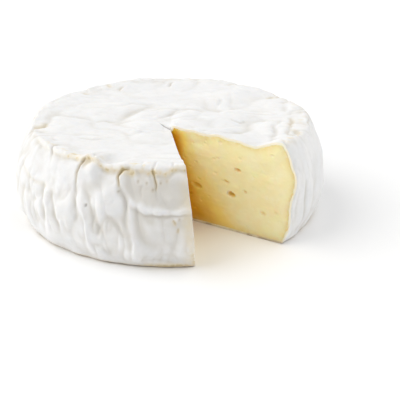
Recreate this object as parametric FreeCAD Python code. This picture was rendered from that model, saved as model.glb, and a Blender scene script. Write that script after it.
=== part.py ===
"""A small soft-ripened cheese wheel with one wedge cut out of it.

Frame: millimetres, +Z up. The origin is on the flat base at the wheel's own axis, and the
missing wedge opens towards +X and -Y. The wheel is one solid: a skin that wraps the bulging
side and rolled rim, closed by a flat base and a flat top, with the wedge and the small round
eyes that the knife opened taken out of it.
"""

import math
import os
import random

import FreeCAD
import Part

# Overall size of the wheel
WHEEL_DIAMETER = 130.0  # across the widest part of the side
WHEEL_HEIGHT = 39.5  # base to the middle of the top
BASE_INSET = 4.0  # how much narrower the base edge is than the widest part
RIM_INSET = 7.5  # how much narrower the shoulder is than the widest part
BULGE_HEIGHT = 14.0  # height of the widest part, because the soft wheel has slumped
RIM_ROUND = 3.6  # radius of the rolled rim
TOP_INSET = 20.0  # where the flat middle of the top begins, in from the widest part

# The missing wedge
APEX = (0.3, -12.6)  # where the two cuts meet, in front of the wheel's axis
CUT_START_DEG = -79.4  # direction of the front cut from the apex
CUT_END_DEG = -32.2  # direction of the right cut from the apex

# The uneven rim and side
RIM_FLARE = 3.6  # how far the upper side leans out beside the right cut
RIM_FLARE_DEG = -41.0
RIM_FLARE_SPREAD_DEG = 12.0
OUTLINE_WAVE = 0.55  # how far the outline wanders from a circle
RIM_WAVE = 0.5  # how far the rim wanders up and down
FOLD_SEED = 7
LOOSE_FOLDS = 26  # shallow upright folds all round the side
LOOSE_FOLD_DEPTH = 0.55

# Swells and dips of the rim: direction, height and spread in degrees
RIM_SWELLS = (
    (-41.0, 3.6, 17.0),
    (-120.6, 1.3, 3.6),
    (-112.5, -0.9, 4.5),
    (140.0, -0.9, 16.0),
    (38.0, -0.8, 12.0),
)
# Deep folds pressed into the side: direction, lowest and highest point, depth, half width
PRESSED_FOLDS = (
    (-147.0, 12.0, 25.0, 0.7, 3.2),
    (-139.0, 8.0, 28.0, 0.9, 3.0),
    (-131.5, 12.0, 28.0, 1.2, 3.4),
    (-124.0, 24.0, 41.0, 1.6, 3.2),
    (-106.0, 8.0, 41.0, 1.5, 3.0),
    (-94.0, 30.0, 41.0, 1.0, 2.8),
)
# Notches where the rim is pinched: direction and depth
RIM_NOTCHES = (
    (-176.0, 0.7),
    (154.0, 0.9),
    (122.0, 1.0),
    (102.0, 1.3),
    (77.0, 1.1),
    (57.0, 0.8),
    (31.0, 1.1),
    (-12.0, 1.0),
)
RIM_NOTCH_WIDTH = 3.4

# Eyes opened by the knife on each cut face: distance along the cut from the apex, height
# above the base, half width, half height and depth
RIGHT_CUT_EYES = (
    (32.5, 27.4, 2.2, 1.1, 1.0),
    (27.0, 21.3, 2.4, 1.1, 1.0),
    (29.6, 16.4, 2.1, 1.3, 1.6),
    (35.8, 18.8, 1.3, 0.9, 0.7),
    (13.4, 16.9, 2.5, 1.2, 1.0),
    (44.0, 11.5, 1.5, 0.9, 0.7),
)
FRONT_CUT_EYES = (
    (12.0, 24.0, 1.9, 1.1, 0.9),
    (21.5, 13.2, 2.3, 1.2, 1.2),
    (27.0, 29.0, 1.6, 1.0, 0.8),
    (34.5, 19.6, 2.4, 1.2, 1.1),
    (41.0, 27.0, 1.4, 0.9, 0.7),
)

# How many control points the skin has round the wheel and up each part of its section
SKIN_COLUMNS = 132
EDGE_ROWS = 4
SIDE_ROWS = 9
ROLL_ROWS = 5
TOP_ROWS = 3


def seam_deg():
    """The skin's seam lies in the middle of the missing wedge, which the cut removes."""
    return (CUT_START_DEG + CUT_END_DEG) / 2.0


def bump(distance, half_width):
    """A smooth hump of height 1 that fades out over about twice its half width."""
    return math.exp(-((distance / half_width) ** 2))


def between(value, low, high, fade=3.0):
    """1 between low and high, fading smoothly to 0 outside them."""
    rise = 1.0 / (1.0 + math.exp(-(value - low) / (fade / 3.0)))
    fall = 1.0 / (1.0 + math.exp((value - high) / (fade / 3.0)))
    return rise * fall


def turn_between(a_deg, b_deg):
    """The signed angle from b to a, in degrees, the short way round."""
    return (a_deg - b_deg + 180.0) % 360.0 - 180.0


def loose_folds():
    """Direction, lowest and highest point, depth and half width of each shallow fold."""
    chance = random.Random(FOLD_SEED)
    folds = []
    for index in range(LOOSE_FOLDS):
        direction = (index + chance.uniform(-0.3, 0.3)) * 360.0 / LOOSE_FOLDS - 180.0
        low = chance.uniform(0.08, 0.3) * WHEEL_HEIGHT
        high = chance.uniform(0.55, 0.9) * WHEEL_HEIGHT
        depth = LOOSE_FOLD_DEPTH * chance.uniform(0.4, 1.2)
        folds.append((direction, low, high, depth, chance.uniform(2.6, 4.4)))
    return folds


def fold_depth(theta_deg, height, folds):
    """How far the folds press the side in at one place."""
    arc = math.radians(1.0) * WHEEL_DIAMETER / 2.0
    pressed = 0.0
    for direction, low, high, depth, half_width in folds:
        across = turn_between(theta_deg, direction) * arc
        if abs(across) < 3.0 * half_width:
            pressed += depth * bump(across, half_width) * between(height, low, high)
    return pressed


def notch_depth(theta_deg):
    """How far the rim is pinched in at one direction."""
    arc = math.radians(1.0) * (WHEEL_DIAMETER / 2.0 - RIM_INSET)
    return sum(
        depth * bump(turn_between(theta_deg, direction) * arc, RIM_NOTCH_WIDTH)
        for direction, depth in RIM_NOTCHES
    )


def outline_offset(theta_deg):
    """The wandering of the outline, in and out."""
    turn = math.radians(theta_deg)
    waves = math.sin(2 * turn + 0.6) + 0.7 * math.sin(3 * turn + 2.1) + 0.4 * math.sin(7 * turn)
    return OUTLINE_WAVE * waves / 2.1


def rim_offset(theta_deg):
    """How far the rim stands above the middle of the top."""
    turn = math.radians(theta_deg)
    waves = math.sin(3 * turn + 1.0) + 0.8 * math.sin(5 * turn + 0.4) + 0.6 * math.sin(11 * turn)
    swells = sum(
        height * bump(turn_between(theta_deg, direction), spread)
        for direction, height, spread in RIM_SWELLS
    )
    return RIM_WAVE * (1.0 + waves / 2.4) + swells


def rim_flare(theta_deg):
    """How far the upper side leans out at one direction."""
    return RIM_FLARE * bump(turn_between(theta_deg, RIM_FLARE_DEG), RIM_FLARE_SPREAD_DEG)


def profile():
    """The side's section as (radius, height, share of the rim's lift), from base to top."""
    widest = WHEEL_DIAMETER / 2.0
    shoulder = widest - RIM_INSET
    roll_height = WHEEL_HEIGHT - RIM_ROUND
    rows = []
    for step in range(EDGE_ROWS):
        turn = math.radians(12.0 + 78.0 * step / EDGE_ROWS)
        low = math.sin(math.radians(12.0))
        radius = widest - BASE_INSET * (1.0 - (math.sin(turn) - low) / (1.0 - low))
        rows.append((radius, BULGE_HEIGHT * (1.0 - math.cos(turn)), 0.0))
    base_rise = rows[0][1]
    rows = [(r, (z - base_rise) * BULGE_HEIGHT / (BULGE_HEIGHT - base_rise), s) for r, z, s in rows]
    for step in range(SIDE_ROWS):
        share = step / SIDE_ROWS
        radius = widest - (RIM_INSET - RIM_ROUND / 2.0) * share**2.2
        height = BULGE_HEIGHT + (roll_height - BULGE_HEIGHT) * share
        rows.append((radius, height, share**2))
    for step in range(ROLL_ROWS):
        turn = math.pi / 2.0 * (step / ROLL_ROWS)
        radius = shoulder - RIM_ROUND / 2.0 + RIM_ROUND * math.cos(turn)
        rows.append((radius, roll_height + RIM_ROUND * math.sin(turn), 1.0))
    top_start = shoulder - RIM_ROUND / 2.0
    top_end = widest - TOP_INSET
    for step in range(TOP_ROWS + 1):
        share = step / TOP_ROWS
        lift = 0.5 + 0.5 * math.cos(math.pi * share)
        rows.append((top_start + (top_end - top_start) * share, WHEEL_HEIGHT, lift))
    return rows


def skin_poles():
    """The skin as rows of control points, each row once round the wheel."""
    folds = list(PRESSED_FOLDS) + loose_folds()
    grid = []
    rows = profile()
    for index, (radius, height, lift) in enumerate(rows):
        on_edge = index == 0 or index == len(rows) - 1
        row = []
        for column in range(SKIN_COLUMNS):
            theta_deg = seam_deg() + 360.0 * column / SKIN_COLUMNS
            theta = math.radians(theta_deg)
            r = radius + outline_offset(theta_deg) + lift * rim_flare(theta_deg)
            z = height + lift * rim_offset(theta_deg)
            if not on_edge:
                r -= fold_depth(theta_deg, height, folds) * (1.0 - lift) ** 0.5
                r -= 0.6 * lift * notch_depth(theta_deg)
                z -= lift * notch_depth(theta_deg)
            row.append(FreeCAD.Vector(r * math.cos(theta), r * math.sin(theta), z))
        grid.append(row)
    return grid


def skin_surface():
    """One smooth surface over the control points, closed round the wheel."""
    poles = skin_poles()
    rows = len(poles)
    inner_knots = rows - 3
    surface = Part.BSplineSurface()
    surface.buildFromPolesMultsKnots(
        poles,
        [4] + [1] * (inner_knots - 1) + [4],
        [1] * (SKIN_COLUMNS + 1),
        list(range(inner_knots + 1)),
        list(range(SKIN_COLUMNS + 1)),
        False,
        True,
        3,
        3,
    )
    return surface


def whole_wheel():
    """The wheel before it is cut: the skin, closed by a flat base and a flat top."""
    skin = skin_surface().toShape()
    caps = []
    for edge in skin.Edges:
        heights = [edge.valueAt(p).z for p in edge.ParameterRange]
        middle = edge.valueAt(sum(edge.ParameterRange) / 2.0).z
        if max(heights + [middle]) - min(heights + [middle]) < 1e-6:
            caps.append(Part.Face(Part.Wire([edge])))
    shell = Part.makeShell([skin] + caps)
    shell.sewShape(1e-4)
    solid = Part.Solid(shell)
    if solid.Volume < 0:
        solid.reverse()
    return solid


def missing_wedge():
    """A block that fills the missing wedge, from the apex out past the side."""
    reach = WHEEL_DIAMETER
    corners = [FreeCAD.Vector(APEX[0], APEX[1], -RIM_ROUND)]
    for direction in (CUT_START_DEG, seam_deg(), CUT_END_DEG):
        turn = math.radians(direction)
        corners.append(corners[0] + FreeCAD.Vector(math.cos(turn), math.sin(turn), 0) * reach)
    face = Part.Face(Part.makePolygon(corners + corners[:1]))
    highest_swell = max(height for _direction, height, _spread in RIM_SWELLS)
    return face.extrude(FreeCAD.Vector(0, 0, WHEEL_HEIGHT + highest_swell + 4.0 * RIM_ROUND))


def eye(direction_deg, along, height, half_width, half_height, depth):
    """One eye: a squashed ball with its middle on the cut face."""
    turn = math.radians(direction_deg)
    matrix = FreeCAD.Matrix()
    matrix.scale(FreeCAD.Vector(half_width, depth, half_height))
    ball = Part.makeSphere(1.0).transformGeometry(matrix)
    ball.rotate(FreeCAD.Vector(), FreeCAD.Vector(0, 0, 1), direction_deg)
    place = (APEX[0] + along * math.cos(turn), APEX[1] + along * math.sin(turn), height)
    ball.translate(FreeCAD.Vector(*place))
    return ball


def cheese_wheel():
    """The wheel as it stands, with its wedge gone and the eyes open on both cuts."""
    wheel = whole_wheel().cut(missing_wedge())
    eyes = [eye(CUT_END_DEG, *size) for size in RIGHT_CUT_EYES]
    eyes += [eye(CUT_START_DEG, *size) for size in FRONT_CUT_EYES]
    for ball in eyes:
        wheel = wheel.cut(ball)
    return wheel


def main():
    os.makedirs("parts", exist_ok=True)
    wheel = cheese_wheel()
    box = wheel.BoundBox
    print("solids", len(wheel.Solids), "valid", wheel.isValid(), "faces", len(wheel.Faces))
    print("volume_cm3", round(wheel.Volume / 1000.0, 2))
    print("box", [round(v, 2) for v in (box.XMin, box.YMin, box.ZMin, box.XMax, box.YMax, box.ZMax)])
    wheel.Solids[0].exportStep("parts/cheese_wheel.step")


main()
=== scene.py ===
import math
from collections import namedtuple

import bmesh
import bpy
import numpy as np
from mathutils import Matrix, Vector
from mathutils.geometry import delaunay_2d_cdt


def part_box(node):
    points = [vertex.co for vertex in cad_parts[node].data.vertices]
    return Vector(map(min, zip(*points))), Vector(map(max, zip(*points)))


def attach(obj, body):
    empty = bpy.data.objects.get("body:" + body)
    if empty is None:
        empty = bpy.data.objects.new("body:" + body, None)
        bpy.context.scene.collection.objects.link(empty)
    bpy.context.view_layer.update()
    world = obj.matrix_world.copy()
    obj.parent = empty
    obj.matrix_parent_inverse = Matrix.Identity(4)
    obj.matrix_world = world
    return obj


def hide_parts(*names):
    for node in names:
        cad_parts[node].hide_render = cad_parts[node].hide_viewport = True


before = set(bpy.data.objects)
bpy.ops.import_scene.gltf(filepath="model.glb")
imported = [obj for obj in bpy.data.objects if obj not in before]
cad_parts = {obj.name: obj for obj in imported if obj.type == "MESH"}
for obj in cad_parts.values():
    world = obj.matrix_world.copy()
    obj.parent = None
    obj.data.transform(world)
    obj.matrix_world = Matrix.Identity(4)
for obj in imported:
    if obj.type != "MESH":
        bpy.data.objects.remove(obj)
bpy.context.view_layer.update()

# The cheese's form is worked out in millimetres and turned into metres when a mesh is made.
MM = 0.001
NODE = "cheese_wheel"
NODE_LOW, NODE_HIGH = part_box(NODE)

# The wheel's section
RADIUS = (NODE_HIGH.x - NODE_LOW.x) / 2 / MM
TOP_HEIGHT = 38.4
BASE_RADIUS = RADIUS - 4.0
BULGE_HEIGHT = 14.0
ROLL_RADIUS = 2.8
ROLL_START_DEG = 33.0
ROLL_START_INSET = 7.0
ROLL_START_HEIGHT = TOP_HEIGHT - ROLL_RADIUS * (1.0 - math.sin(math.radians(ROLL_START_DEG)))
CREST_RADIUS = RADIUS - ROLL_START_INSET - ROLL_RADIUS * math.cos(math.radians(ROLL_START_DEG))
RIM_FADE = 13.0
RIND_THICKNESS = 1.1

# The missing wedge: the apex, and the headings of the two cuts from it
APEX = np.array([0.3, -12.6])
FRONT_CUT_DEG = -79.4
RIGHT_CUT_DEG = -32.2
MIDDLE_CUT_DEG = (FRONT_CUT_DEG + RIGHT_CUT_DEG) / 2.0
RECESS = 2.0
BEHIND_REACH = RECESS / math.sin(math.radians(RIGHT_CUT_DEG - FRONT_CUT_DEG) / 2.0)
BEHIND = -BEHIND_REACH * np.array(
    [math.cos(math.radians(MIDDLE_CUT_DEG)), math.sin(math.radians(MIDDLE_CUT_DEG)), 0.0]
)
WELD = 0.002

# Places on the texture sheet, in mm on a sheet of this size
SHEET = 236.0
STRIP_CORNER = np.array([2.0, 2.0])
STRIP_PITCH = 50.0
TOP_CORNER = np.array([-2.0, 98.0])
BASE_CORNER = np.array([124.0, 112.0])
BASE_SCALE = 0.8
RIGHT_LIP_CORNER = np.array([4.0, 224.0])
FRONT_LIP_CORNER = np.array([4.0, 230.0])
LIP_STEP = 0.9
HIDDEN_CORNER = np.array([200.0, 232.0])
HIDDEN_SCALE = 0.02
PASTE_SHEET = 96.0
HIDDEN_FACE = np.array([90.0, 92.0])
RIGHT_FACE_CORNER = np.array([3.0, 3.0])
FRONT_FACE_CORNER = np.array([3.0, 50.0])

# The top's flap along the right cut, the side's flare beside it, and the front cut's lean
FLAP_HEIGHT = 2.0
FLAP_REACH = 11.0
FLARE = 3.6
FLARE_DEG = -41.0
FLARE_WIDTH_DEG = 12.0
LEAN = 0.9
LEAN_PER_MM = 0.05
LEAN_WIDTH_DEG = 16.0

# Folds and nicks of the side that nobody placed one by one
LOOSE_FOLD_STEP_DEG = 11.0
LOOSE_NICK_STEP_DEG = 21.0
SIDE_SEED = 11

# The rind's cut edge as (share of its thickness, distance out of the cut, strength of its colour),
# and how far across the edge each ring of it lies on the texture sheet
LIP_RINGS = ((0.25, 0.12, 0.75), (0.7, 0.1, 1.0), (0.96, 0.02, 1.0), (1.0, -0.15, 1.0))
LIP_WIDTHS = (0.0, 0.4, 0.9, 1.2, 1.4, 2.0)
PASTE_START_SHARE = 0.55
EYE_TILT = 0.22
SMALL_EYES = 26

# Painted shade in hollows: hollows are found by comparing the skin with its mean over this many steps
# each way, and are painted fully shaded at this depth
HOLLOW_REACH = 9
HOLLOW_DEPTH = 0.5

# Behind the cuts the rind drops a little under the top at the apex, and the paste stops short of it
BEHIND_DROP = 1.4
PASTE_BACK_SHARE = 0.96

# The camera, in metres and radians, and the lights, as (name, azimuth, elevation, spread, strength,
# colour) with the angles in degrees
CAMERA_PLACE = (0.01250, -0.39576, 0.17607)
CAMERA_TILT_DOWN = 0.4162
CAMERA_LENS = 90.0
SUNS = (
    ("key", -93.0, 36.0, 80.0, 2.4, (1.0, 0.995, 0.985)),
    ("fill", 95.0, 34.0, 110.0, 1.58, (1.0, 1.0, 1.0)),
)
WORLD_STRENGTH = 0.40

# Mesh fineness
COLUMNS = 600
COLUMN_SHARES = (0.0, 0.25, 0.61, 1.0)
COLUMN_TURNS_DEG = (RIGHT_CUT_DEG, 45.0, 198.0, FRONT_CUT_DEG + 360.0)
BASE_ROWS = 4
SIDE_ROWS = 66
ROLL_ROWS = 10
TOP_ROWS = 80
FACE_STEP = 0.34

Patch = namedtuple("Patch", "points faces places fields")
Crease = namedtuple("Crease", "path depth width tan dark lip", defaults=(0.0, 0.0, 0.0))
Spot = namedtuple("Spot", "place radius lift tan dark", defaults=(0.0, 0.0, 0.0))
Eye = namedtuple("Eye", "along height half_width half_height depth")

# Swells of the rim, as (heading in degrees, height, width in degrees)
RIM_SWELLS = (
    (-41.0, 3.6, 17.0),
    (-120.9, 1.9, 2.3),
    (-117.0, 1.9, 2.2),
    (-112.5, -0.9, 4.5),
    (-104.0, 0.6, 2.6),
    (-94.0, 0.4, 3.0),
    (-133.0, -0.6, 6.0),
    (140.0, -0.9, 16.0),
    (38.0, -0.8, 12.0),
)
# The lifted edge of the rind at the front of the rim, and the other folds of the side, as
# (heading in degrees, height in mm) along each one
ARCH = (
    (-123.4, 31), (-123.9, 35), (-123.0, 38.4), (-121.2, 41.2),
    (-118.6, 42.8), (-115.8, 41.4), (-114.8, 39.4),
)
SIDE_CREASES = (
    Crease(ARCH, 0.7, 0.45, 0.5, 0.4, 0.3),
    Crease(((-122.4, 37.0), (-121.0, 39.4), (-118.9, 40.6)), 0.7, 1.3, 0.35, 0.15),
    Crease(((-123.5, 32), (-122.6, 27), (-122.4, 22)), 0.5, 0.9, 0.0, 0.16, 0.4),
    Crease(((-122.2, 22), (-121.2, 16), (-120.6, 9)), 0.2, 1.1, 0.0, 0.0, 0.6),
    Crease(((-120.4, 31), (-118.6, 20), (-117.6, 11), (-117.2, 5)), -0.35, 1.0),
    Crease(((-103.4, 38.6), (-105.6, 38.0), (-107.3, 35.6), (-106.6, 32.4)), 0.9, 0.45, 0.8, 0.45, 0.5),
    Crease(((-106.5, 33), (-104.2, 28.5), (-102.9, 23)), 0.6, 0.85, 0.0, 0.12, 0.6),
    Crease(((-102.9, 24), (-102.4, 17), (-101.7, 9)), 0.5, 1.1, 0.0, 0.1, 0.8),
    Crease(((-100.8, 14), (-100.4, 8), (-98.4, 2)), -0.4, 1.3),
    Crease(((-109.4, 21.8), (-106.4, 18.4), (-103.0, 14.2)), 0.5, 1.0, 0.0, 0.05, 0.8),
    Crease(((-104.0, 32), (-101.2, 27.6), (-97.4, 25.6), (-91.9, 24.6), (-81.2, 24.2)), -0.7, 1.1),
    Crease(((-101.4, 25.8), (-97.4, 23.4), (-91.9, 22.5), (-81.2, 22.2)), 0.5, 0.6, 0.05, 0.15),
    Crease(((-94.6, 39.0), (-93.4, 36.0), (-92.8, 32)), 0.7, 0.4, 0.7, 0.45, 0.3),
    Crease(((-92.8, 33), (-92.4, 28)), 0.3, 0.7, 0.0, 0.1, 0.5),
    Crease(((-98.8, 33), (-98.2, 28.5)), 0.3, 0.7, 0.0, 0.15, 0.5),
    Crease(((-136.6, 25), (-134.9, 20), (-133.2, 14)), -0.5, 1.4),
    Crease(((-139.4, 27), (-138.0, 20), (-136.4, 11)), 0.5, 1.3, 0.0, 0.0, 0.8),
    Crease(((-134.1, 25.4), (-131.8, 19), (-129.6, 12)), 0.6, 1.1, 0.05, 0.08, 0.9),
    Crease(((-143.4, 24), (-142.2, 18), (-140.0, 12)), -0.35, 1.3),
    Crease(((-148.8, 26), (-147.6, 19), (-144.6, 12)), 0.3, 1.0, 0.0, 0.0, 0.7),
    Crease(((-158, 28.6), (-151, 27.2), (-145, 25.6), (-137, 26.2)), 0.35, 0.8, 0.12, 0.0, 0.8),
    Crease(((-113.7, 22), (-112.9, 14), (-113.6, 7)), 0.25, 1.1, 0.0, 0.0, 0.6),
    Crease(((-87.8, 21), (-87.2, 18.5)), 0.2, 0.4, 0.7, 0.35),
    Crease(((-86.4, 17.5), (-86.0, 15.6)), 0.2, 0.4, 0.6, 0.3),
    Crease(((-88, 2), (-94, 4.4), (-100, 3.0)), 0.3, 0.8, 0.0, 0.0, 0.6),
    Crease(((-81.8, 37.5), (-81.9, 22), (-82.0, 0)), 0.0, 1.9, 0.42),
    Crease(((-80.4, 8.5), (-80.8, 4.5), (-81.4, 0.5)), 0.3, 2.0, 0.8),
    Crease(((-81.5, 0.9), (-88, 0.7), (-98, 0.9)), 0.0, 0.9, 1.0),
)
# Creases of the top, as (x, y) in mm along each one
TOP_CREASES = (
    Crease(((-6, -4), (-1.5, 4), (3, 12.5)), 0.35, 0.9, 0.0, 0.0, 0.9),
    Crease(((3, 12.5), (-4, 11), (-10, 7)), 0.45, 0.8, 0.0, 0.05, 0.8),
    Crease(((2, 12), (8, 12.5), (14, 10)), 0.35, 0.8, 0.0, 0.0, 0.6),
    Crease(((-31, -3), (-27, -1.5), (-23, -3)), 0.5, 0.8, 0.0, 0.0, 0.6),
    Crease(((-16, -20), (-10, -16.5), (-5, -18)), 0.45, 0.8, 0.0, 0.0, 0.6),
    Crease(((-36, -23), (-30, -26), (-24, -25)), 0.5, 0.9, 0.0, 0.05, 0.6),
    Crease(((-24, 15), (-16, 19), (-8, 18)), 0.4, 1.0, 0.0, 0.0, 0.6),
    Crease(((25, -3), (29, -5.5), (31.5, -4)), 0.5, 0.9, 0.0, 0.05, 0.5),
    Crease(((-22, 43), (-24, 38)), 0.5, 0.7, 0.15, 0.1, 0.5),
    Crease(((0, 50), (-1.5, 43)), 0.6, 0.8, 0.1, 0.15, 0.7),
    Crease(((-30, 46), (-28, 42)), 0.4, 0.8, 0.4, 0.1, 0.5),
    Crease(((-40, 34), (-37, 31)), 0.4, 0.8, 0.3, 0.1, 0.5),
    Crease(((27, 47), (25, 43)), 0.3, 0.8, 0.3, 0.05, 0.5),
    Crease(((45, 30), (42, 27)), 0.4, 0.9, 0.35, 0.1, 0.5),
    Crease(((-3.4, -8.0), (-1.3, -10.6), (0.1, -12.4)), 0.6, 0.35, 0.0, 0.9),
    Crease(((4.6, -22.5), (1.6, -21.8)), 0.3, 0.35, 0.2, 0.25),
    Crease(((40, -31), (41.5, -22), (42.5, -12), (45.5, -2)), 0.5, 1.2, 0.0, 0.0, 1.1),
    Crease(((49, -29), (47, -22), (48, -14)), 0.5, 0.9, 0.15, 0.1, 0.7),
    Crease(((48, -14), (51.0, -17.5), (53, -22)), 0.3, 0.9, 0.25, 0.0, 0.5),
    Crease(((48, -14), (50.5, -7), (50, 1)), 0.5, 0.8, 0.3, 0.1, 0.6),
    Crease(((-56, -11), (-52, -9), (-51, -5)), 0.6, 1.0, 0.5, 0.1, 0.5),
)
SPOTS = (
    Spot((-117.9, 24.0), 0.5, -0.4, 0.0, 0.8),
    Spot((-117.0, 36.8), 3.0, 1.2),
    Spot((-102.5, 36.6), 0.6, -0.2, 0.3, 0.15),
    Spot((-99.9, 34.6), 0.6, -0.2, 0.2, 0.3),
    Spot((-96.6, 34.2), 0.5, -0.2, 0.2, 0.3),
    Spot((-94.3, 32.0), 0.6, -0.2, 0.3, 0.45),
    Spot((-91.4, 34.4), 0.5, -0.2, 0.3, 0.3),
    Spot((-89.0, 35.0), 0.6, -0.1, 0.3, 0.2),
    Spot((-106.5, 30.6), 0.5, -0.1, 0.2, 0.4),
    Spot((-85.4, 21.4), 0.6, -0.1, 0.3, 0.3),
)

RIGHT_CUT_EYES = (
    Eye(32.5, 27.4, 1.6, 0.75, 1.2),
    Eye(27.0, 21.4, 1.7, 0.6, 1.0),
    Eye(29.6, 16.4, 2.0, 1.1, 1.9),
    Eye(35.8, 18.8, 1.0, 0.8, 0.8),
    Eye(13.4, 16.9, 2.6, 1.1, 1.3),
    Eye(10.2, 12.8, 1.1, 0.6, 0.6),
    Eye(22.0, 24.0, 1.2, 0.4, 0.35),
    Eye(44.0, 11.5, 1.4, 0.9, 0.8),
)
FRONT_CUT_EYES = (
    Eye(12.0, 24.0, 1.8, 0.8, 1.0),
    Eye(21.5, 13.2, 2.2, 1.0, 1.4),
    Eye(27.0, 29.0, 1.5, 0.7, 0.9),
    Eye(34.5, 19.6, 2.3, 0.9, 1.2),
    Eye(41.0, 27.0, 1.2, 0.6, 0.7),
    Eye(44.0, 10.0, 1.6, 0.8, 0.9),
)


# ---- Noise ----


def lattice(ix, iy, iz, seed):
    """A repeatable random number from -1 to 1 for each whole-number point."""
    mask = np.uint64(0xFFFFFFFF)
    mixed = ix.astype(np.int64) * 374761393 + iy.astype(np.int64) * 668265263
    mixed = mixed + iz.astype(np.int64) * 1442695041 + seed * 974634777
    h = mixed.astype(np.uint64) & mask
    h = ((h ^ (h >> np.uint64(13))) * np.uint64(1274126177)) & mask
    h = ((h ^ (h >> np.uint64(16))) * np.uint64(2246822519)) & mask
    h = h ^ (h >> np.uint64(15))
    return h.astype(float) / 2147483647.5 - 1.0


def noise(x, y, z, seed):
    """Smooth random values from -1 to 1, about one lump for each unit of length."""
    cell = [np.floor(a) for a in (x, y, z)]
    part = [a - c for a, c in zip((x, y, z), cell)]
    ease = [p * p * p * (p * (p * 6 - 15) + 10) for p in part]
    total = 0.0
    for dx in (0, 1):
        for dy in (0, 1):
            for dz in (0, 1):
                weight = 1.0
                for axis, step in enumerate((dx, dy, dz)):
                    weight = weight * (ease[axis] if step else 1.0 - ease[axis])
                total = total + weight * lattice(cell[0] + dx, cell[1] + dy, cell[2] + dz, seed)
    return total


def layered(x, y, z, seed, layers=3):
    """Noise with finer and weaker noise laid over it."""
    total, strength = 0.0, 1.0
    for layer in range(layers):
        scale = 2.03**layer
        total = total + strength * noise(x * scale, y * scale, z * scale, seed + layer)
        strength *= 0.5
    return total / 1.6


def puffs(x, y, z, seed):
    """Rounded lumps parted by thin creases: 0 in a crease, and up to about 0.9 on a lump."""
    bend = 0.8 * noise(x / 1.9, y / 1.9, z / 1.9, seed)
    return np.abs(noise(x + bend, y + bend, z + bend, seed + 1))


# ---- Small shaping functions ----


def smooth_step(value, low, high):
    """0 below low, 1 above high, and a smooth rise between them."""
    share = np.clip((value - low) / (high - low), 0.0, 1.0)
    return share * share * (3.0 - 2.0 * share)


def bump(distance, width):
    """A hump of height 1 that fades out over about twice its width."""
    return np.exp(-((distance / width) ** 2))


def turn_between(a_deg, b_deg):
    """The signed angle from b to a in degrees, the short way round."""
    return (a_deg - b_deg + 180.0) % 360.0 - 180.0


def to_path(px, py, path):
    """Distance to a path of straight runs, the side it is passed on, and the share of its length."""
    runs = [np.subtract(b, a) for a, b in zip(path, path[1:])]
    lengths = [math.hypot(*run) for run in runs]
    whole, gone = sum(lengths), 0.0
    best = np.full(np.shape(px), 1e9)
    side, share = np.zeros_like(best), np.zeros_like(best)
    for start, run, length in zip(path, runs, lengths):
        ax, ay = px - start[0], py - start[1]
        t = np.clip((ax * run[0] + ay * run[1]) / length**2, 0.0, 1.0)
        away = np.hypot(ax - t * run[0], ay - t * run[1])
        nearer = away < best
        best = np.where(nearer, away, best)
        side = np.where(nearer, np.sign(run[0] * ay - run[1] * ax), side)
        share = np.where(nearer, (gone + t * length) / whole, share)
        gone += length
    return best, side, share


def add_crease(field, px, py, crease):
    """Presses one crease, or raises one ridge if its depth is below 0, into the relief fields."""
    away, side, share = to_path(px, py, crease.path)
    taper = np.clip(4.0 * share * (1.0 - share), 0.0, 1.0) ** 0.5 * 0.85 + 0.15
    core = bump(away, crease.width) * taper
    shoulders = bump(away - 2.4 * crease.width, 1.5 * crease.width) * taper
    rise = np.clip(away / (0.8 * crease.width), 0.0, 1.0) * np.exp(-away / (2.5 * crease.width))
    lip = 1.3 * crease.lip * side * rise * taper
    field["relief"] += crease.depth * (-core + 0.22 * shoulders + 0.5 * lip)
    field["tan"] = np.maximum(field["tan"], crease.tan * bump(away, 1.5 * crease.width) * taper)
    # dark: the crease's core painted dark brown, painted shade in its depth with some of the rind's own
    # brown
    field["dark"] = np.maximum(field["dark"], crease.dark * bump(away, 0.7 * crease.width) * taper)


def empty_fields(shape):
    """The fields that creases and spots are added to: relief in mm, and three strengths of colour: tan
    wear, dark for the painted shade and brown deep in creases and pits, and painted grey shade.
    """
    return {name: np.zeros(shape) for name in ("relief", "tan", "dark", "painted_grey")}


# ---- The rind ----


def rim_lift(theta_deg):
    """How far the rim stands above the middle of the top."""
    turn = np.radians(theta_deg)
    waves = np.sin(3 * turn + 1.0) + 0.8 * np.sin(5 * turn + 0.4) + 0.6 * np.sin(11 * turn)
    swells = sum(high * bump(turn_between(theta_deg, at), wide) for at, high, wide in RIM_SWELLS)
    return 0.5 * (1.0 + waves / 2.4) + swells


def rim_flare(theta_deg):
    """How far the upper part of the side leans out beside the right cut."""
    return FLARE * bump(turn_between(theta_deg, FLARE_DEG), FLARE_WIDTH_DEG)


def outline_offset(theta_deg):
    """The wandering of the outline, in and out."""
    turn = np.radians(theta_deg)
    waves = np.sin(2 * turn + 0.6) + 0.7 * np.sin(3 * turn + 2.1) + 0.4 * np.sin(7 * turn)
    return 0.55 * waves / 2.1


def side_radius(height):
    """The side's radius at a height, before it is made uneven."""
    low = BASE_RADIUS + (RADIUS - BASE_RADIUS) * np.sin(np.pi / 2 * height / BULGE_HEIGHT)
    share = np.clip((height - BULGE_HEIGHT) / (ROLL_START_HEIGHT - BULGE_HEIGHT), 0.0, 1.0)
    return np.where(height < BULGE_HEIGHT, low, RADIUS - ROLL_START_INSET * share**2.2)


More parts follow.
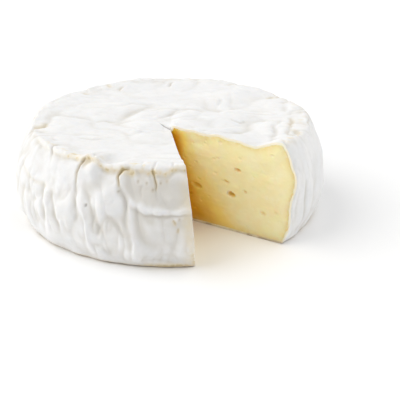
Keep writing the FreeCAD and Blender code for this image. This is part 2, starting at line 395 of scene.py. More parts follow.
def random_side_creases(rng):
    """Folds of the hidden side, of the kind that shows at the front."""
    creases = []
    for heading in np.arange(26.0, 196.0, LOOSE_FOLD_STEP_DEG):
        base = heading + rng.uniform(-4.5, 4.5)
        low = rng.uniform(4.0, 18.0)
        high = min(low + rng.uniform(9.0, 22.0), 36.0)
        slant = rng.uniform(-2.5, 2.5)
        depth = rng.choice([0.4, 0.6, 0.9, -0.5])
        middle = (base + rng.uniform(-1.2, 1.2), (low + high) / 2)
        path = ((base + slant, high), middle, (base - slant, low))
        width = rng.uniform(0.6, 1.1)
        creases.append(Crease(path, depth, width, 0.0, 0.1 * (depth > 0.5), 0.8))
    for heading in np.arange(2.0, 200.0, LOOSE_NICK_STEP_DEG):
        base = heading + rng.uniform(-9.0, 9.0)
        hook = rng.choice([-4.0, -2.0, 1.0, 3.0]) * rng.uniform(0.6, 1.2)
        low = rng.uniform(24.0, 35.5)
        depth = rng.uniform(0.3, 1.0)
        top = ((base + hook, 39.4), (base + 0.25 * hook, 38.2))
        path = (*top, (base, 36.6), (base - 0.3 * hook, low))
        width, tan = rng.uniform(0.4, 0.7), rng.uniform(0.0, 0.6)
        creases.append(Crease(path, depth, width, tan, 0.3 * depth, 0.7))
    return creases


def side_fields(theta_deg, height, x, y):
    """Relief, worn colour and painted shade of the side."""
    field = empty_fields(theta_deg.shape)
    arc = np.radians(1.0) * RADIUS
    rng = np.random.default_rng(SIDE_SEED)
    sway = 0.7 * noise(x / 4.0, y / 4.0, height / 5.0, 24)
    sway = sway + 0.25 * noise(x / 1.6, y / 1.6, height / 2.0, 27)
    rise = height + 0.8 * noise(x / 4.0, y / 4.0, height / 5.0, 25)
    for crease in SIDE_CREASES + tuple(random_side_creases(rng)):
        middle = crease.path[0][0]
        path = tuple((turn_between(a, middle) * arc, z) for a, z in crease.path)
        across = turn_between(theta_deg, middle) * arc + sway
        add_crease(field, across, rise, crease._replace(path=path))
    for spot in SPOTS:
        away = np.hypot(turn_between(theta_deg, spot.place[0]) * arc, height - spot.place[1])
        field["relief"] += spot.lift * bump(away, spot.radius)
        field["tan"] = np.maximum(field["tan"], spot.tan * bump(away, 1.3 * spot.radius))
        # dark: the spot's middle painted dark, painted shade in the pit with some of the rind's own
        # brown
        field["dark"] = np.maximum(field["dark"], spot.dark * bump(away, 0.9 * spot.radius))
    field["relief"] += side_lumps(theta_deg, height, x, y)
    shade_side(field, theta_deg, height)
    return field


def shade_side(field, theta_deg, height):
    """The shallow hollow beside the front cut, and painted grey shade on the front, in that hollow and
    on the left.
    """
    beside_cut = smooth_step(theta_deg, -108.0, -102.0) * (theta_deg < -60.0)
    field["relief"] -= 1.4 * beside_cut * bump(height - 31.5, 5.5)
    front = smooth_step(theta_deg, -124.0, -116.0) * (theta_deg < -60.0)
    front = front * (1.0 - bump(theta_deg + 116.5, 6.0) * smooth_step(height, 27.0, 33.0))
    # Painted shade: the left, the front and the hollow beside the cut are painted greyer
    field["painted_grey"] += 0.5 * bump(turn_between(theta_deg, -162.0), 16.0)
    field["painted_grey"] += 0.4 * front + 0.8 * beside_cut * bump(height - 26.0, 11.0)


def side_lumps(theta_deg, height, x, y):
    """The side's loose skin: puffy and creased, and smoother to the right of the wedge."""
    middle = smooth_step(height, 0.0, 6.0) * (1.0 - 0.5 * smooth_step(height, 27.0, 34.0))
    loose = 1.0 - 0.65 * bump(turn_between(theta_deg, -4.0), 26.0)
    loose = loose - 0.3 * bump(turn_between(theta_deg, -150.0), 22.0)
    loose = loose * (0.75 + 0.35 * noise(x / 17.0, y / 17.0, height / 17.0, 51))
    tall = puffs(x / 7.5, y / 7.5, height / 24.0, 21) - 0.3
    small = puffs(x / 3.6, y / 3.6, height / 7.0, 52) - 0.3
    wide = noise(x / 14.0, y / 14.0, height / 20.0, 22)
    lean = noise(x / 20.0, y / 20.0, height / 9.0, 23)
    fine = layered(x / 2.2, y / 2.2, height / 2.8, 26, 2)
    foot = bump(height, 4.0) * noise(x / 8.0, y / 8.0, height * 0.0, 28)
    puffy = loose * (1.8 * tall + 0.7 * small + 0.12 * fine)
    return middle * (puffy + 0.7 * wide + 0.5 * lean) + foot


def raised_flap(x, y):
    """The top stands up along the right cut, where the knife has lifted it, as far as the nick
    that runs on behind the apex."""
    away_x, away_y = x - APEX[0], y - APEX[1]
    turn = math.radians(RIGHT_CUT_DEG)
    along = away_x * math.cos(turn) + away_y * math.sin(turn)
    off = -away_x * math.sin(turn) + away_y * math.cos(turn)
    reach = np.hypot(along, off)
    behind = (np.degrees(np.arctan2(off, along)) + 20.0) % 360.0 - 20.0
    edge = smooth_step(reach, 0.0, 1.5) * (1.0 - smooth_step(behind, 85.0, 165.0))
    edge = edge * bump(np.where(along > 0.0, off, reach), FLAP_REACH)
    fade = 0.7 * smooth_step(along, 21.0, 28.0) + 0.3 * smooth_step(along, 34.0, 44.0)
    return FLAP_HEIGHT * edge * (1.0 - fade)


def top_fields(x, y):
    """Relief, worn colour and painted shade of the top."""
    field = empty_fields(x.shape)
    flat = x * 0.0
    sway = 0.6 * noise(x / 4.0, y / 4.0, flat, 37)
    for crease in TOP_CREASES:
        add_crease(field, x + sway, y - sway, crease)
    field["relief"] += 0.45 * layered(x / 19.0, y / 19.0, flat, 31, 2)
    loose = 0.7 + 0.5 * noise(x / 21.0, y / 21.0, flat, 33)
    large = puffs(x / 19.0, y / 15.0, flat + 3.3, 32) - 0.3
    small = puffs(x / 8.0, y / 7.0, flat + 8.1, 34) - 0.3
    field["relief"] += loose * (1.7 * large + 0.5 * small)
    field["relief"] += 0.05 * layered(x / 2.4, y / 2.4, flat, 36, 2)
    field["relief"] += raised_flap(x, y)
    return field


def seam_strength(theta_deg):
    """How strongly the seam below the rim shows: clearly at the front, and little by the cut."""
    front = smooth_step(turn_between(theta_deg, -168.0), 0.0, 20.0)
    front = front * (turn_between(theta_deg, -116.0) < 60.0)
    faint = 0.4 * bump(turn_between(theta_deg, -20.0), 30.0)
    return 0.4 + 0.6 * front - faint - 0.35 * bump(turn_between(theta_deg, -152.0), 18.0)


def rim_fields(theta_deg, along, x, y, z):
    """Pinches, worn colour and painted shade that cross the rim; along is the distance from its crest.
    """
    field = empty_fields(theta_deg.shape)
    crest = bump(along, 4.5)
    pinch = bump(noise(x / 6.0, y / 6.0, z / 30.0, 41), 0.13)
    strength = 0.5 + 0.5 * noise(x / 15.0, y / 15.0, z / 30.0, 42)
    field["relief"] -= 0.9 * pinch * strength * crest
    field["relief"] += 0.4 * crest * noise(x / 3.2, y / 3.2, z / 6.0, 43)
    lower = smooth_step(theta_deg, -116.0, -108.0) * (1.0 - smooth_step(theta_deg, -89.0, -84.0))
    wander = along + 0.9 * noise(x / 4.5, y / 4.5, z / 30.0, 46) + 0.3 + 1.5 * lower
    shows = seam_strength(theta_deg)
    uneven = 0.4 * noise(x / 7.0, y / 7.0, z / 30.0, 47) + 0.4 * noise(x / 1.8, y / 1.8, z / 9.0, 48)
    seam = 0.7 * bump(wander, 1.1) - 0.7 * bump(wander + 2.3, 0.9)
    field["relief"] += shows * (0.6 + uneven) * seam
    specks = smooth_step(layered(x / 1.6, y / 1.6, z / 1.6, 44, 2), -0.1, 0.4)
    patches = smooth_step(layered(x / 9.0, y / 9.0, z / 30.0, 45, 2), -0.2, 0.35)
    line = shows * bump(wander + 1.4, 1.0) * (0.45 + 0.55 * specks)
    line = line * (0.32 + 0.68 * smooth_step(turn_between(theta_deg, -138.0), 0.0, 8.0))
    rubbed = specks * patches * bump(along - 0.3, 1.6) * (0.7 - 0.45 * smooth_step(y, -25.0, 15.0))
    field["tan"] = np.maximum(rubbed, 0.8 * line)
    # Painted shade: grey on the inner slope of the raised back rim, and just below the crest at the
    # right back
    field["painted_grey"] = 0.6 * bump(along - 4.0, 3.0) * bump(turn_between(theta_deg, 108.0), 22.0)
    field["painted_grey"] += 0.7 * bump(along + 0.6, 1.7) * bump(turn_between(theta_deg, 26.0), 34.0)
    return field


def section_rows():
    """The side's section as (radius, height, slope in degrees), from the base's edge to the crest."""
    points = [(BASE_RADIUS - 1.6, 0.0, -80.0), (BASE_RADIUS - 0.5, 0.25, -45.0)]
    for height in np.linspace(0.9, ROLL_START_HEIGHT, SIDE_ROWS):
        slope = ROLL_START_DEG * float(smooth_step(height, 20.0, ROLL_START_HEIGHT))
        points.append((float(side_radius(height)), height, slope))
    for share in np.linspace(0.0, 1.0, ROLL_ROWS + 1)[1:]:
        turn = math.radians(ROLL_START_DEG + (90.0 - ROLL_START_DEG) * share)
        radius = CREST_RADIUS + ROLL_RADIUS * math.cos(turn)
        height = TOP_HEIGHT - ROLL_RADIUS * (1.0 - math.sin(turn))
        points.append((radius, height, math.degrees(turn)))
    return np.array(points)


def reach_from_apex(headings, radius):
    """How far to go from the apex along each heading to be that far from the wheel's axis."""
    along = headings @ APEX
    return -along + np.sqrt(along**2 - APEX @ APEX + radius**2)


def plain_skin():
    """The skin before it is made uneven: points, slopes, and distance inwards from the crest, each
    as rows from the base's apex over the side to the top's apex, and a column for each heading."""
    shares = np.linspace(0.0, 1.0, COLUMNS)
    turns = np.radians(np.interp(shares, COLUMN_SHARES, COLUMN_TURNS_DEG))
    headings = np.stack([np.cos(turns), np.sin(turns)], axis=1)
    section = section_rows()
    side = np.zeros((len(section), COLUMNS, 3))
    for row, (radius, height, _slope) in zip(side, section):
        flat = APEX + reach_from_apex(headings, radius)[:, None] * headings
        theta = np.degrees(np.arctan2(flat[:, 1], flat[:, 0]))
        offset = outline_offset(theta) + rim_flare(theta) * smooth_step(height, 15.0, 31.0)
        row[:, :2] = flat + offset[:, None] * headings
        row[:, 2] = height + smooth_step(height, 24.0, TOP_HEIGHT) * rim_lift(theta)
    apex = np.append(APEX, 0.0)
    shares = np.linspace(0.0, 1.0, BASE_ROWS, endpoint=False)[:, None, None]
    base = apex + (side[0] - apex) * shares
    shares = np.linspace(0.0, 1.0, TOP_ROWS + 1)[1:, None, None]
    top = side[-1] + (apex - side[-1]) * shares
    radius = np.hypot(top[..., 0], top[..., 1])
    theta = np.degrees(np.arctan2(top[..., 1], top[..., 0]))
    fade = smooth_step(radius - rim_flare(theta), CREST_RADIUS - RIM_FADE, CREST_RADIUS)
    top[..., 2] = TOP_HEIGHT + fade * rim_lift(theta)
    points = np.concatenate([base, side, top])
    slope = np.concatenate([np.full(BASE_ROWS, -90.0), section[:, 2], np.full(TOP_ROWS, 90.0)])
    inward = np.zeros(points.shape[:2])
    steps = np.hypot(*np.diff(section[:, :2], axis=0).T)
    inward[BASE_ROWS:-TOP_ROWS] = (np.append(0.0, np.cumsum(steps)) - steps.sum())[:, None]
    inward[:BASE_ROWS] = -steps.sum()
    inward[-TOP_ROWS:] = CREST_RADIUS + rim_flare(theta) - radius
    return points, np.radians(slope)[:, None], inward, headings


def evened(grid, reach):
    """A grid of values, each averaged with its neighbours up to that many steps away."""
    for axis in (0, 1):
        pad = [(reach, reach) if a == axis else (0, 0) for a in (0, 1)]
        total = np.cumsum(np.pad(grid, pad, mode="edge"), axis=axis)
        count = 2 * reach
        take = [slice(None), slice(None)]
        take[axis] = slice(count, None)
        lead = total[tuple(take)]
        take[axis] = slice(0, -count)
        grid = (lead - total[tuple(take)]) / count
    return grid


def rind_skin():
    """The rind's uneven outer skin, and the fields that colour it."""
    points, slope, inward, headings = plain_skin()
    x, y, z = np.moveaxis(points, 2, 0)
    theta_deg = np.degrees(np.arctan2(y, x))
    on_top = smooth_step(slope, math.radians(32.0), math.radians(88.0))
    on_side = (1.0 - on_top) * (slope > math.radians(-60.0))
    side = side_fields(theta_deg, z, x, y)
    top = top_fields(x, y)
    rim = rim_fields(theta_deg, inward, x, y, z)
    rim["relief"] *= smooth_step(z, 5.0, 12.0)
    fields = {name: side[name] * on_side + top[name] * on_top + rim[name] for name in side}
    # The foot is painted tan to dark brown: the rind's own brown edge, with painted contact shade where
    # it meets the floor
    fields["edge"] = bump(z, 1.1) * (slope > math.radians(-60.0)) * (1.0 - on_top)
    relief = fields["relief"]
    # Painted shade: the skin is painted darker where it lies below its neighbours, and where painted
    # grey shade is laid
    below = (evened(relief, HOLLOW_REACH) - relief) / HOLLOW_DEPTH
    fields["painted_shade"] = np.clip(below + fields.pop("painted_grey"), 0.0, 1.2)
    moved = points.copy()
    moved[..., :2] += (relief * np.cos(slope))[..., None] * headings
    moved[..., 2] = np.maximum(z + relief * np.sin(slope) * (slope > 0.0), 0.0)
    moved[-1] = moved[-1].mean(axis=0)
    return moved, fields


# ---- Meshes ----


def grid_faces(rows, columns):
    """Quads over a grid of points stored row by row."""
    corner = np.arange(rows * columns).reshape(rows, columns)
    quads = [corner[:-1, :-1], corner[:-1, 1:], corner[1:, 1:], corner[1:, :-1]]
    return np.stack(quads, axis=-1).reshape(-1, 4).tolist()


def grid_patch(points, places, fields):
    """A patch over a grid of points, with its fields spread to the whole grid."""
    rows, columns = points.shape[:2]
    flat = {name: np.broadcast_to(value, (rows, columns)).ravel() for name, value in fields.items()}
    return Patch(points.reshape(-1, 3), grid_faces(rows, columns), places.reshape(-1, 2), flat)


def with_lean(points):
    """Points moved so that the front cut leans, its foot further to the right than its top edge."""
    away = points[:, :2] - APEX
    heading = np.degrees(np.arctan2(away[:, 1], away[:, 0]))
    near = bump(turn_between(heading, FRONT_CUT_DEG), LEAN_WIDTH_DEG)
    near = near * smooth_step(np.hypot(*away.T), 0.0, 30.0)
    moved = points.copy()
    moved[:, 0] += near * (LEAN - LEAN_PER_MM * points[:, 2] + 0.5 * bump(points[:, 2], 5.0))
    return moved


def make_piece(name, patches, sheet, field_names, material):
    """One closed mesh from patches that share their edges, each with its own place on the texture."""
    points = with_lean(np.concatenate([patch.points for patch in patches]))
    places = np.concatenate([patch.places for patch in patches]) / sheet
    starts = np.cumsum([0] + [len(patch.points) for patch in patches])
    faces = [[v + start for v in face] for patch, start in zip(patches, starts) for face in patch.faces]
    mesh = bpy.data.meshes.new(name)
    mesh.from_pydata((points * MM).tolist(), [], faces)
    corners = np.zeros(len(mesh.loops), np.int32)
    mesh.loops.foreach_get("vertex_index", corners)
    layer = mesh.uv_layers.new(name="OFBake")
    layer.data.foreach_set("uv", places[corners].astype(np.float32).ravel())
    for field in field_names:
        blank = [patch.fields.get(field, np.zeros(len(patch.points))) for patch in patches]
        attribute = mesh.attributes.new(field, "FLOAT", "POINT")
        attribute.data.foreach_set("value", np.concatenate(blank).astype(np.float32))
    weld = bmesh.new()
    weld.from_mesh(mesh)
    bmesh.ops.remove_doubles(weld, verts=weld.verts, dist=WELD * MM)
    bmesh.ops.recalc_face_normals(weld, faces=weld.faces)
    weld.to_mesh(mesh)
    weld.free()
    mesh.shade_smooth()
    mesh.materials.append(material)
    piece = bpy.data.objects.new(name, mesh)
    bpy.context.scene.collection.objects.link(piece)
    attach(piece, "root")
    return piece


def skin_patches(points, fields):
    """The skin as four patches: the side in two strips, and the base and the top."""
    side = slice(BASE_ROWS, len(points) - TOP_ROWS)
    around = np.linalg.norm(np.diff(points[side.start + SIDE_ROWS // 2], axis=0), axis=1)
    around = np.append(0.0, np.cumsum(around))
    up = np.linalg.norm(np.diff(points[side, 0], axis=0), axis=1)
    up = np.append(0.0, np.cumsum(up))
    half = COLUMNS // 2
    patches = []
    for number, span in enumerate((slice(0, half + 1), slice(half, COLUMNS))):
        across, over = np.meshgrid(around[span] - around[span.start], up)
        corner = STRIP_CORNER + number * np.array([0.0, STRIP_PITCH])
        places = np.stack([across, over], axis=-1) + corner
        part = {name: value[side, span] for name, value in fields.items()}
        patches.append(grid_patch(points[side, span], places, part))
    for rows, corner, scale in (
        (slice(0, side.start + 1), BASE_CORNER, BASE_SCALE),
        (slice(side.stop - 1, len(points)), TOP_CORNER, 1.0),
    ):
        places = (points[rows, :, :2] + RADIUS) * scale + corner
        part = {name: value[rows] for name, value in fields.items()}
        patches.append(grid_patch(points[rows], places, part))
    return patches


def hidden_places(points):
    """Faces that never show share a small corner of the texture sheet."""
    return HIDDEN_CORNER + (points[:, :2] - points[:, :2].min(axis=0)) * HIDDEN_SCALE


class Cut:
    """One of the two cuts: its plane, the rind's outline in it, and how thick the rind is there."""

    def __init__(self, heading_deg, side, outline, seed, eyes, lip_corner, face_corner):
        turn = math.radians(heading_deg)
        self.heading = np.array([math.cos(turn), math.sin(turn)])
        self.normal = side * np.array([-math.sin(turn), math.cos(turn)])
        self.eyes, self.seed = eyes, seed
        self.lip_corner, self.face_corner = lip_corner, face_corner
        self.outline = np.stack([(outline[:, :2] - APEX) @ self.heading, outline[:, 2]], axis=1)
        travel = np.gradient(self.outline, axis=0)
        for _ in range(4):
            travel[1:-1] = (travel[:-2] + 2 * travel[1:-1] + travel[2:]) / 4
        inward = np.stack([-travel[:, 1], travel[:, 0]], axis=1)
        self.inward = inward / np.linalg.norm(inward, axis=1)[:, None]
        self.inward[0], self.inward[-1] = (0.0, 1.0), (0.0, -1.0)
        reach = np.append(0.0, np.cumsum(np.linalg.norm(np.diff(self.outline, axis=0), axis=1)))
        uneven = noise(reach / 2.5, reach * 0.0, reach * 0.0, seed) * 0.35
        uneven = uneven + 0.25 * noise(reach / 0.9, reach * 0.0, reach * 0.0, seed + 1)
        calm = smooth_step(self.outline[:, 0], 0.5, 3.0)
        facing_down = np.clip(-self.inward[:, 1], 0.0, 1.0)
        self.thickness = RIND_THICKNESS * (1.0 + uneven * calm + 0.5 * facing_down)

    def inset(self, share):
        """The outline moved inwards by a share of the rind's thickness."""
        line = self.outline + self.inward * (self.thickness * share)[:, None]
        line[0, 0] = line[-1, 0] = 0.0
        return line

    def place(self, flat, out):
        """Points of the cut's plane, moved out of it into the gap, in the wheel's frame."""
        calm = smooth_step(flat[:, 0], 0.0, 2.5)
        ground = APEX + flat[:, :1] * self.heading + (out * calm)[:, None] * self.normal
        return np.column_stack([ground, flat[:, 1]])

    def behind(self, points, share):
        """Points moved into the cheese: straight back, and to one shared line behind the apex."""
        along = (points[:, :2] - APEX) @ self.heading
        square = smooth_step(along, 0.0, 9.0)[:, None]
        back = np.append(-self.normal * RECESS, 0.0)
        moved = points + share * (back * square + BEHIND * (1.0 - square))
        moved[:, 2] -= share * BEHIND_DROP * smooth_step(points[:, 2], 30.0, 37.0) * (1.0 - square[:, 0])
        return moved

    def lip_patches(self):
        """The cut edge of the rind, and the face behind the paste that closes the rind."""
        rings, tones = [self.place(self.outline, np.zeros(len(self.outline)))], [0.0]
        for share, out, tone in LIP_RINGS:
            rings.append(self.place(self.inset(share), np.full(len(self.outline), out)))
            tones.append(tone)
        rings.append(self.behind(rings[-1], 1.0))
        tones.append(1.0)
        lip = np.array(rings)
        widths = np.array(LIP_WIDTHS)[:, None] + 0.0 * self.outline[:, 0]
        run = np.broadcast_to(np.arange(len(self.outline)) * LIP_STEP, widths.shape)
        places = np.stack([run, widths], axis=-1) + self.lip_corner
        back = lip[-1]
        close = Patch(back, [list(range(len(back)))], hidden_places(back), {})
        # The lip's foot gets the same painted brown edge and painted contact shade as the side's foot
        fields = {"cut": np.array(tones)[:, None], "edge": 0.9 * bump(lip[..., 2], 1.6)}
        return [grid_patch(lip, places, fields), close]

    def face_patches(self):
        """The paste that shows on this cut, and the back that closes it inside the rind."""
        edge = finely(self.inset(PASTE_START_SHARE))
        apex_line = np.linspace(edge[-1], edge[0], int((edge[-1, 1] - edge[0, 1]) / FACE_STEP) + 1)
        ring = np.concatenate([edge, apex_line[1:-1]])
        flat, faces = fill_outline(ring, self.seed)
        out, fields = self.paste_relief(flat)
        front = Patch(self.place(flat, out), faces, flat + self.face_corner, fields)
        rim = self.place(ring, self.paste_relief(ring)[0])
        back = self.behind(rim, PASTE_BACK_SHARE)
        wall = np.array([np.append(rim, rim[:1], axis=0), np.append(back, back[:1], axis=0)])
        hidden = [
            grid_patch(wall, np.tile(HIDDEN_FACE, (2, len(ring) + 1, 1)), {}),
            Patch(back, [list(range(len(back)))], np.tile(HIDDEN_FACE, (len(back), 1)), {}),
        ]
        return [front, *hidden]

    def paste_relief(self, flat):
        """How far each point of the paste stands out of the cut's plane, and what colours it."""
        t, z = flat.T
        away = to_path(t, z, finely(self.outline, 1.2))[0]
        calm = smooth_step(away, 1.0, 5.0)
        out = -0.2 + 0.3 * smooth_step(away, 0.5 * RIND_THICKNESS, 1.5 * RIND_THICKNESS)
        out += 0.75 * (1.0 - np.exp(-away / 7.0))
        out += calm * (0.32 * noise(t / 8.0, z / 6.0, t * 0.0, self.seed + 3))
        out += calm * (0.12 * noise(t / 2.6, z / 2.2, t * 0.0, self.seed + 4))
        out += 0.035 * noise(t / 0.9, z / 0.9, t * 0.0, self.seed + 5)
        drag = noise(t / 14.0 + z / 40.0, z / 0.9 + t / 30.0, t * 0.0, self.seed + 6)
        out += 0.03 * calm * drag
        depth = np.zeros_like(t)
        for eye in (*self.eyes, *self.small_eyes()):
            right, up = t - eye.along, z - eye.height
            across = right * math.cos(EYE_TILT) - up * math.sin(EYE_TILT)
            over = right * math.sin(EYE_TILT) + up * math.cos(EYE_TILT)
            q = np.hypot(across / eye.half_width, over / eye.half_height)
            depth = np.maximum(depth, eye.depth * np.clip(1.0 - q**2, 0.0, 1.0) ** 0.55)
            out += 0.16 * eye.depth * bump(np.hypot(across / eye.half_width, (over + 1.1) / 1.4), 1.0)
        out -= depth
        fields = {
            "margin": 0.7 * bump(np.maximum(away - 1.0, 0.0), 1.5) * smooth_step(t, 2.0, 18.0),
            "eye": smooth_step(depth, 0.2, 1.4),
            # Painted shade and painted golden bounce light of the notch: strongest by the apex and low
            # down toward it
            "painted_notch_shade": 1.0 - smooth_step(t - 0.9 * (36.0 - z), -22.0, 14.0) + 0.85 * bump(t, 6.8),
        }
        return out, fields

    def small_eyes(self):
        """Pin-sized eyes strewn over the face."""
        rng = np.random.default_rng(self.seed)
        wide, high = self.outline.max(axis=0)
        for _ in range(SMALL_EYES):
            place = rng.uniform((4.0, 4.0), (wide - 8.0, high - 5.0))
            size = rng.uniform(0.3, 0.65)
            yield Eye(*place, size * rng.uniform(1.0, 1.8), size * 0.8, size * 0.7)


def finely(line, step=None):
    """A line with points put in so that none are further apart than the step."""
    step = step or FACE_STEP
    made = []
    for a, b in zip(line, line[1:]):
        count = max(1, math.ceil(np.linalg.norm(b - a) / step))
        made.extend(a + (b - a) * share for share in np.linspace(0.0, 1.0, count, endpoint=False))
    return np.array(made + [line[-1]])


def inside(points, ring):
    """Which points lie within a closed ring."""
    x, y = points.T
    odd = np.zeros(len(points), bool)
    for (ax, ay), (bx, by) in zip(ring, np.roll(ring, -1, axis=0)):
        if ay != by:
            odd ^= ((ay > y) != (by > y)) & (x < (bx - ax) * (y - ay) / (by - ay) + ax)
    return odd


def fill_outline(ring, seed):
    """Even triangles over the inside of a ring, with the ring's own points first."""
    rng = np.random.default_rng(seed)
    low, high = ring.min(axis=0), ring.max(axis=0)
    across, over = np.meshgrid(*(np.arange(a, b, FACE_STEP) for a, b in zip(low, high)))
    loose = np.column_stack([across.ravel(), over.ravel()])
    loose += rng.uniform(-0.2, 0.2, loose.shape) * FACE_STEP
    away = to_path(*loose.T, finely(np.append(ring, ring[:1], axis=0)[::2], 2.0))[0]
    loose = loose[inside(loose, ring) & (away > 0.6 * FACE_STEP)]
    points = [Vector(p) for p in np.concatenate([ring, loose])]
    edges = [(i, (i + 1) % len(ring)) for i in range(len(ring))]
    made = delaunay_2d_cdt(points, edges, [], 1, 1e-6)
    return np.array([tuple(p) for p in made[0]]), [list(face) for face in made[2]]


# ---- Materials ----


def new_material(name):
    material = bpy.data.materials.new(name)
    material.use_nodes = True
    return material, material.node_tree.nodes["Principled BSDF"]


class Nodes:
    """Short ways to add shader nodes to one material."""

    def __init__(self, material):
        self.tree = material.node_tree
        self.place = self.tree.nodes.new("ShaderNodeTexCoord").outputs["Object"]

    def add(self, kind, **inputs):
        node = self.tree.nodes.new(kind)
        for name, value in inputs.items():
            self.join(value, node.inputs[name.replace("_", " ")])
        return node

    def join(self, value, socket):
        if isinstance(value, bpy.types.NodeSocket):
            self.tree.links.new(value, socket)
        else:
            socket.default_value = value

    def noise(self, lump_mm, detail=3.0, rough=0.5):
        """A noise with lumps of that size."""
        scale = (1.0 / (lump_mm * MM),) * 3
        mapping = self.add("ShaderNodeMapping", Vector=self.place, Scale=scale)
        node = self.add("ShaderNodeTexNoise", Vector=mapping.outputs[0], Scale=1.0)
        self.join(detail, node.inputs["Detail"])
        self.join(rough, node.inputs["Roughness"])
        return node.outputs["Fac"]

    def ramp(self, value, low, high, bottom=0.0, top=1.0):
        node = self.add("ShaderNodeMapRange", Value=value)
        node.interpolation_type = "SMOOTHSTEP"
        for name, number in (("From Min", low), ("From Max", high), ("To Min", bottom), ("To Max", top)):
            node.inputs[name].default_value = number
        return node.outputs[0]

    def field(self, name):
        node = self.add("ShaderNodeAttribute")
        node.attribute_name = name
        return node.outputs["Fac"]

    def math(self, operation, a, b):
        node = self.tree.nodes.new("ShaderNodeMath")
        node.operation = operation
        self.join(a, node.inputs[0])
        self.join(b, node.inputs[1])
        return node.outputs[0]

    def mix(self, share, a, b):
        node = self.tree.nodes.new("ShaderNodeMix")
        node.data_type = "RGBA"
        self.join(share, node.inputs["Factor"])
        for value, socket in ((a, node.inputs[6]), (b, node.inputs[7])):
            self.join(value if isinstance(value, bpy.types.NodeSocket) else (*value, 1.0), socket)
        return node.outputs[2]

    def bump(self, layers):
        """Bumps laid one over another; each is a height, its distance in mm and its strength."""
        normal = None
        for height, distance, strength in layers:
            node = self.add("ShaderNodeBump", Height=height, Distance=distance * MM, Strength=strength)
            if normal is not None:
                self.tree.links.new(normal, node.inputs["Normal"])
            normal = node.outputs[0]
        return normal


def rind_material():
    """Dry white mould, thinner and greyer in places, rubbed to tan where it has been handled, and with
    painted shade in hollows, on the front and the left, deep in creases and along the foot.
    """
    material, shader = new_material("bloomy_rind")
    n = Nodes(material)
    clouds = n.ramp(n.noise(11.0, 4.0), 0.35, 0.7)
    colour = n.mix(clouds, (0.79, 0.79, 0.79), (0.83, 0.825, 0.815))
    mottle = n.ramp(n.noise(4.0, 5.0, rough=0.6), 0.45, 0.75, 0.0, 0.4)
    colour = n.mix(mottle, colour, (0.70, 0.695, 0.68))
    warm = n.ramp(n.noise(9.0, 3.0), 0.55, 0.8, 0.0, 0.2)
    colour = n.mix(warm, colour, (0.82, 0.795, 0.75))
    # Painted shade: hollows, the front and the left are mixed toward a brownish grey
    painted_shade = n.math("MULTIPLY", n.field("painted_shade"), 0.5)
    colour = n.mix(painted_shade, colour, (0.59, 0.555, 0.485))
    tan = n.math("MULTIPLY", n.field("tan"), n.ramp(n.noise(1.8, 4.0), 0.3, 0.55, 0.65, 1.0))
    colour = n.mix(tan, colour, (0.78, 0.64, 0.37))
    colour = n.mix(n.ramp(tan, 0.45, 0.95, 0.0, 0.7), colour, (0.46, 0.37, 0.21))
    colour = n.mix(n.field("cut"), colour, (0.95, 0.87, 0.68))
    # edge: the foot painted tan, then near-black brown at the floor: the rind's own brown edge with
    # painted contact shade
    edge = n.math("MULTIPLY", n.field("edge"), n.ramp(n.noise(6.0, 3.0), 0.35, 0.6, 0.25, 1.0))
    colour = n.mix(edge, colour, (0.68, 0.54, 0.34))
    colour = n.mix(n.ramp(edge, 0.6, 0.95, 0.0, 0.8), colour, (0.30, 0.22, 0.13))
    # dark: cores of creases, nicks and pits painted dark brown, painted shade in their depths with some
    # of the rind's own brown
    colour = n.mix(n.field("dark"), colour, (0.17, 0.12, 0.09))
    n.join(colour, shader.inputs["Base Color"])
    layers = (
        (n.noise(2.4, 3.0), 0.35, 0.35),
        (n.noise(0.7, 4.0, rough=0.65), 0.16, 0.55),
    )
    n.join(n.bump(layers), shader.inputs["Normal"])
    shader.inputs["Roughness"].default_value = 0.88
    shader.inputs["Specular IOR Level"].default_value = 0.22
    shader.inputs["Sheen Weight"].default_value = 0.12
    shader.inputs["Sheen Roughness"].default_value = 0.6
    shader.inputs["Subsurface Weight"].default_value = 0.15
    shader.inputs["Subsurface Radius"].default_value = (1.0, 0.8, 0.6)
    shader.inputs["Subsurface Scale"].default_value = 1.2 * MM
    return material


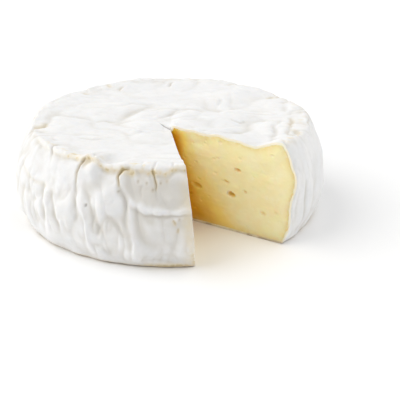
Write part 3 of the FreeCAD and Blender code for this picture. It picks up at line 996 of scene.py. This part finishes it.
def paste_material():
    """Soft buttery paste, more golden beneath the rind and inside the eyes, with painted shade and
    painted golden bounce light deepening it toward the apex.
    """
    material, shader = new_material("soft_paste")
    n = Nodes(material)
    clouds = n.ramp(n.noise(7.0, 3.0), 0.3, 0.7)
    colour = n.mix(clouds, (0.96, 0.81, 0.47), (0.97, 0.85, 0.55))
    flecks = n.ramp(n.noise(1.6, 3.0), 0.55, 0.75, 0.0, 0.35)
    colour = n.mix(flecks, colour, (0.97, 0.88, 0.66))
    # Painted shade and painted golden bounce light: the paste is mixed to deep gold and orange toward
    # the apex and low in the notch
    painted_notch_shade = n.math("ADD", n.field("painted_notch_shade"), n.ramp(n.noise(8.0, 2.0), 0.3, 0.7, -0.06, 0.06))
    colour = n.mix(n.ramp(painted_notch_shade, 0.0, 0.5), colour, (0.95, 0.72, 0.22))
    colour = n.mix(n.ramp(painted_notch_shade, 0.4, 0.95), colour, (0.75, 0.405, 0.02))
    margin = n.math("MULTIPLY", n.field("margin"), n.ramp(n.noise(2.0, 3.0), 0.3, 0.6, 0.35, 0.9))
    colour = n.mix(margin, colour, (0.90, 0.62, 0.22))
    eye = n.math("MULTIPLY", n.field("eye"), 0.85)
    colour = n.mix(eye, colour, (0.84, 0.55, 0.08))
    n.join(colour, shader.inputs["Base Color"])
    layers = (
        (n.noise(3.5, 2.0), 0.3, 0.3),
        (n.noise(0.8, 3.0), 0.12, 0.35),
    )
    n.join(n.bump(layers), shader.inputs["Normal"])
    shader.inputs["Roughness"].default_value = 0.42
    shader.inputs["Specular IOR Level"].default_value = 0.4
    shader.inputs["Subsurface Weight"].default_value = 0.6
    shader.inputs["Subsurface Radius"].default_value = (1.0, 0.55, 0.2)
    shader.inputs["Subsurface Scale"].default_value = 3.0 * MM
    return material


def floor_material():
    material, shader = new_material("pale_floor")
    shader.inputs["Base Color"].default_value = (0.95, 0.95, 0.95, 1.0)
    shader.inputs["Roughness"].default_value = 0.7
    shader.inputs["Specular IOR Level"].default_value = 0.1
    return material


# ---- The scene ----


def add_floor():
    half = 3.0
    mesh = bpy.data.meshes.new("floor")
    corners = [(-half, -half, 0.0), (half, -half, 0.0), (half, half, 0.0), (-half, half, 0.0)]
    mesh.from_pydata(corners, [], [(0, 1, 2, 3)])
    mesh.materials.append(floor_material())
    floor = bpy.data.objects.new("floor", mesh)
    bpy.context.scene.collection.objects.link(floor)


def add_sun(name, azimuth, elevation, spread, strength, colour):
    """A broad soft light from that side; azimuth 0 is the front and 90 the right."""
    light = bpy.data.lights.new(name, "SUN")
    light.energy, light.angle, light.color = strength, math.radians(spread), colour
    lamp = bpy.data.objects.new(name, light)
    a, e = math.radians(azimuth), math.radians(elevation)
    back = Vector((math.sin(a) * math.cos(e), -math.cos(a) * math.cos(e), math.sin(e)))
    lamp.rotation_euler = back.to_track_quat("Z", "Y").to_euler()
    bpy.context.scene.collection.objects.link(lamp)


def add_world(strength):
    world = bpy.data.worlds.new("studio")
    world.use_nodes = True
    sky = world.node_tree.nodes["Background"]
    sky.inputs["Color"].default_value = (1.0, 1.0, 1.0, 1.0)
    sky.inputs["Strength"].default_value = strength
    bpy.context.scene.world = world


def add_camera():
    camera = bpy.data.cameras.new("camera")
    camera.lens, camera.sensor_width = CAMERA_LENS, 36.0
    camera.clip_start, camera.clip_end = 0.01, 20.0
    holder = bpy.data.objects.new("camera", camera)
    holder.location = CAMERA_PLACE
    holder.rotation_euler = (math.pi / 2 - CAMERA_TILT_DOWN, 0.0, 0.0)
    bpy.context.scene.collection.objects.link(holder)
    bpy.context.scene.camera = holder


def build_cheese():
    points, fields = rind_skin()
    right = Cut(
        RIGHT_CUT_DEG, -1.0, points[:, 0], 61, RIGHT_CUT_EYES, RIGHT_LIP_CORNER, RIGHT_FACE_CORNER
    )
    front = Cut(
        FRONT_CUT_DEG, 1.0, points[:, -1], 71, FRONT_CUT_EYES, FRONT_LIP_CORNER, FRONT_FACE_CORNER
    )
    patches = skin_patches(points, fields) + right.lip_patches() + front.lip_patches()
    names = ("tan", "dark", "edge", "cut", "painted_shade")
    rind = make_piece("rind", patches, SHEET, names, rind_material())
    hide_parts(NODE)
    patches = right.face_patches() + front.face_patches()
    make_piece("paste", patches, PASTE_SHEET, ("margin", "eye", "painted_notch_shade"), paste_material())


build_cheese()
add_floor()
add_world(WORLD_STRENGTH)
for sun in SUNS:
    add_sun(*sun)
add_camera()
bpy.context.scene.view_settings.view_transform = "Standard"
